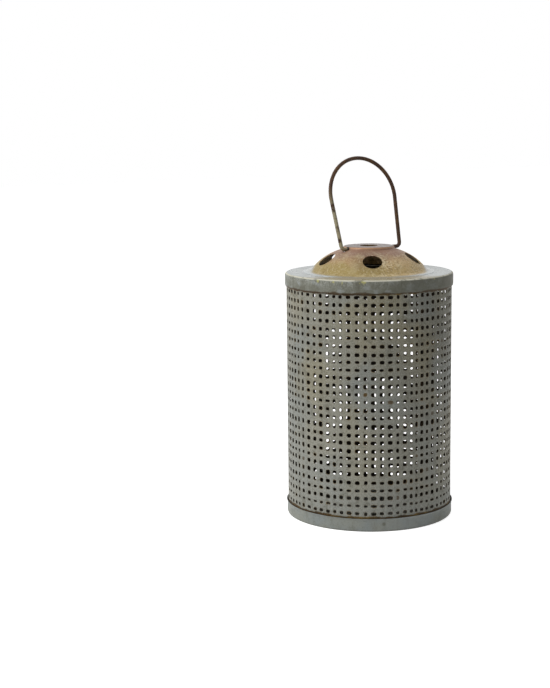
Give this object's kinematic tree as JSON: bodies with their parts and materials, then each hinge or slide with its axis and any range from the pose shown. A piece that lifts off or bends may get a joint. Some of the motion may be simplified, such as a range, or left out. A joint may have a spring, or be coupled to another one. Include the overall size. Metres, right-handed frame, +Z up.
{
  "type": "punched tin candle lantern",
  "caption": "Round punched tin candle lantern with a base pan, perforated sleeve, lift-off lid with a vented dome and a swinging wire bail.",
  "frame": {"origin": "centre of the flat face that the base pan stands on", "axes": "+Z up along the sleeve's axis, X along the bail's hinge axis, the bail leans towards +Y at rest"},
  "size_m": [0.1518, 0.1518, 0.3233],
  "materials": {
    "punched_tin": "matte olive-grey patina",
    "aged_zinc": "dull blue-grey patina with streaks",
    "bronzed_dome": "speckled bronze patina, copper near the top",
    "bail_wire": "dark brown bronzed wire"
  },
  "bodies": {
    "base": {"base_pan": "aged_zinc", "body_shell": "punched_tin", "seam_rivets": "aged_zinc", "candle_cup": "aged_zinc", "cup_rivet": "aged_zinc"},
    "lid": {"lid_plate": "aged_zinc", "dome": "bronzed_dome"},
    "bail": {"bail": "bail_wire"}
  },
  "joints": [
    {"name": "lid_lift", "type": "slide", "parent": "base", "child": "lid", "axis": [0, 0, 1], "range_m": [0, 0.06]},
    {"name": "bail_swing", "type": "hinge", "parent": "lid", "child": "bail", "pos_m": [0, 0, 0.24183], "axis": [1, 0, 0], "range_deg": [-75, 105]}
  ]
}
